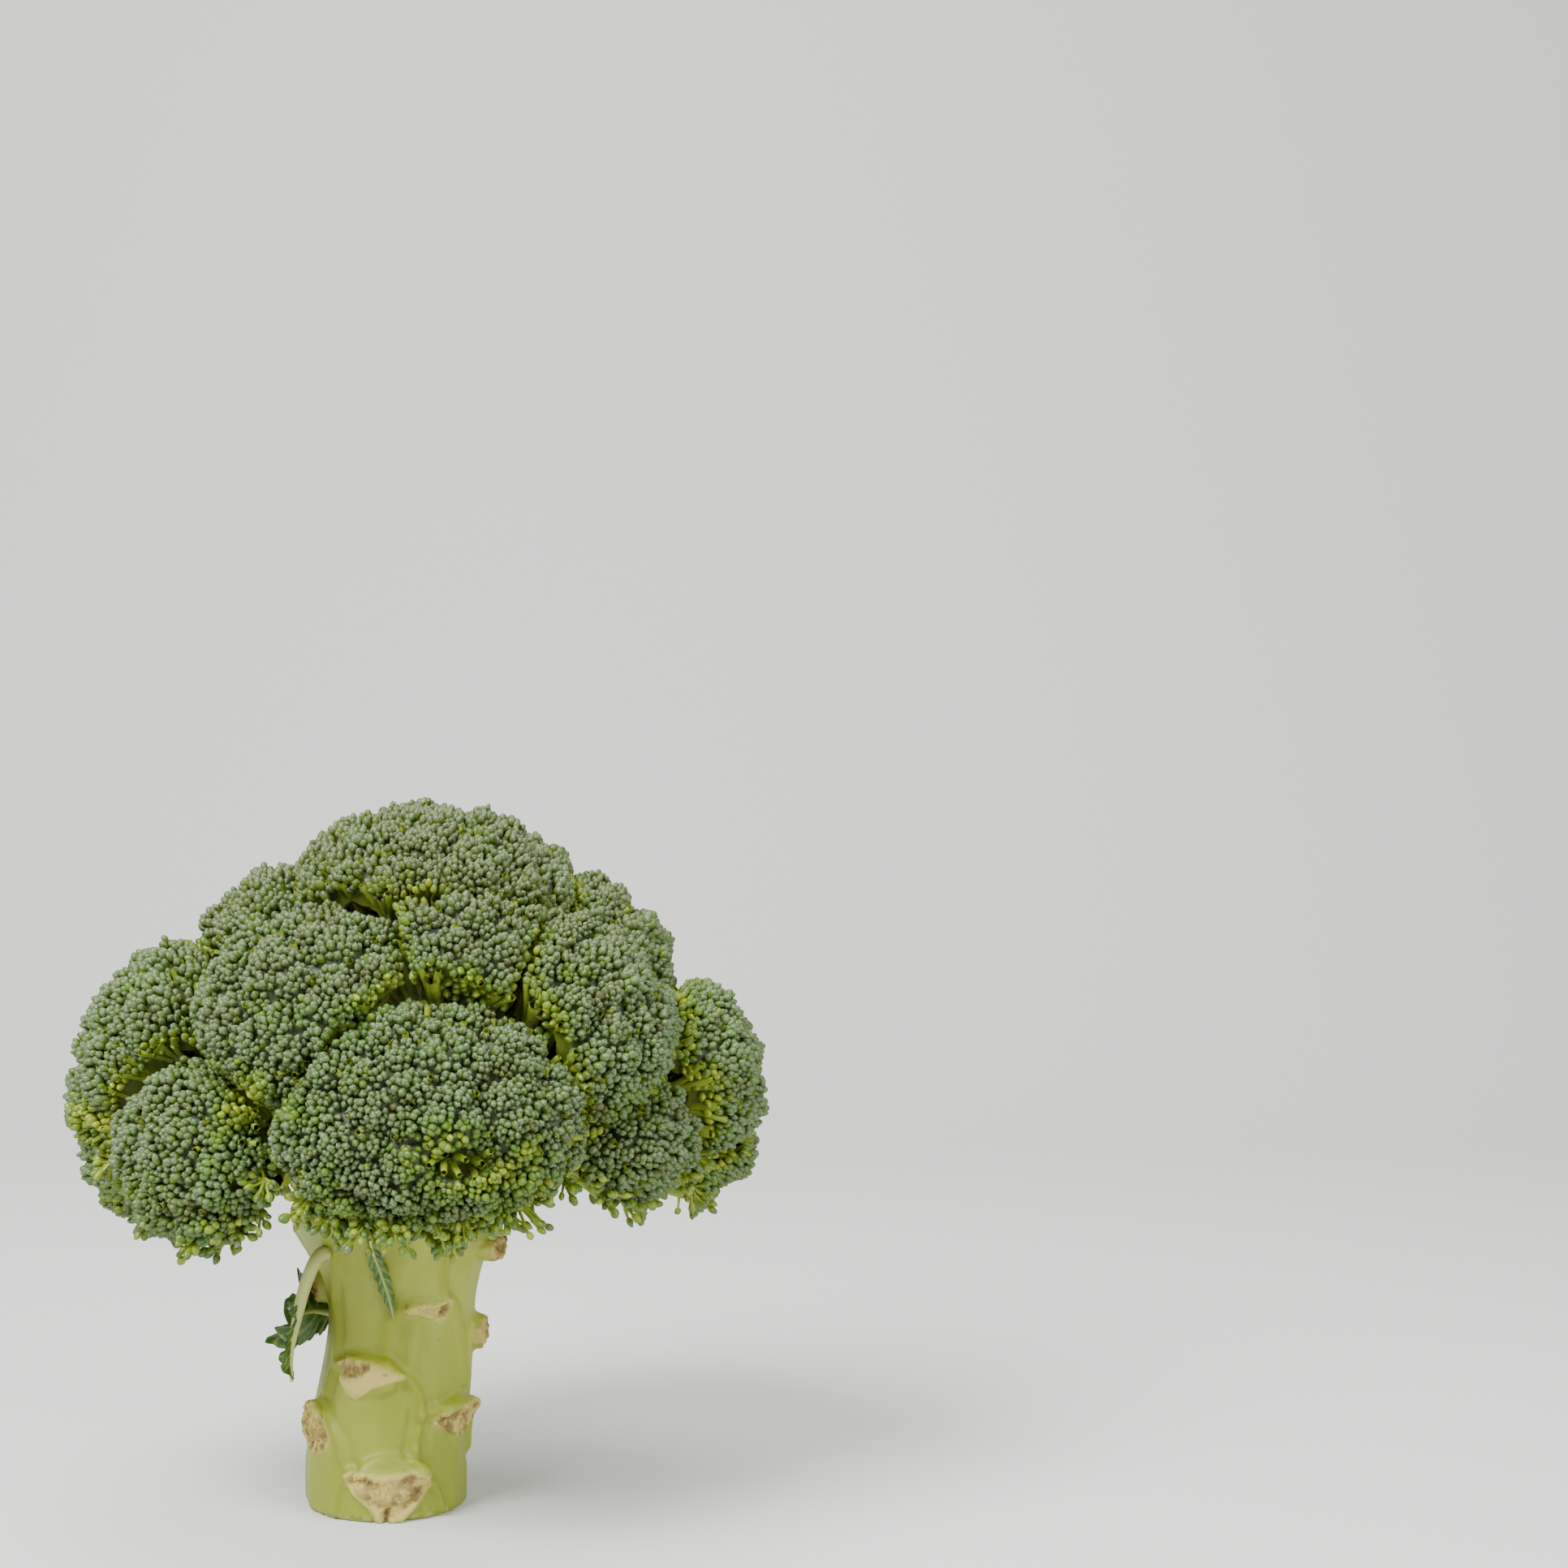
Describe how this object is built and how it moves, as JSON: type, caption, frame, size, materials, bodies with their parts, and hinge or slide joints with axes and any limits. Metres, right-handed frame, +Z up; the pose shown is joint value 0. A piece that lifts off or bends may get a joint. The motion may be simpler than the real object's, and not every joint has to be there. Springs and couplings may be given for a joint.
{
  "type": "broccoli head",
  "caption": "Head of broccoli standing on its cut stalk: a pale branching stalk, domed clusters of blue-green flower buds, and small leaves left on the stalk.",
  "frame": {"origin": "centre of the stalk's flat cut face, which the head stands on", "axes": "+Z up the stalk to the top of the crown; -Y is the front, with the widest floret; +X is the right seen from the front"},
  "size_m": [0.153, 0.1379, 0.1532],
  "materials": {
    "stalk_skin": "satin",
    "flower_buds": "matte",
    "leaf_blade": "satin"
  },
  "bodies": {
    "root": {"floret_back": "flower_buds", "floret_back_left": "flower_buds", "floret_back_left_upper": "flower_buds", "floret_back_right": "flower_buds", "floret_back_right_upper": "flower_buds", "floret_centre_upper": "flower_buds", "floret_far_left": "flower_buds", "floret_far_left_lower": "flower_buds", "floret_far_right": "flower_buds", "floret_far_right_lower": "flower_buds", "floret_front": "flower_buds", "floret_left_middle": "flower_buds", "floret_lower_left": "flower_buds", "floret_right_lower": "flower_buds", "floret_right_middle": "flower_buds", "floret_right_upper": "flower_buds", "floret_top": "flower_buds", "floret_top_left": "flower_buds", "leaf_behind": "leaf_blade", "leaf_front": "leaf_blade", "leaf_left": "leaf_blade", "stalk": "stalk_skin"}
  },
  "joints": []
}
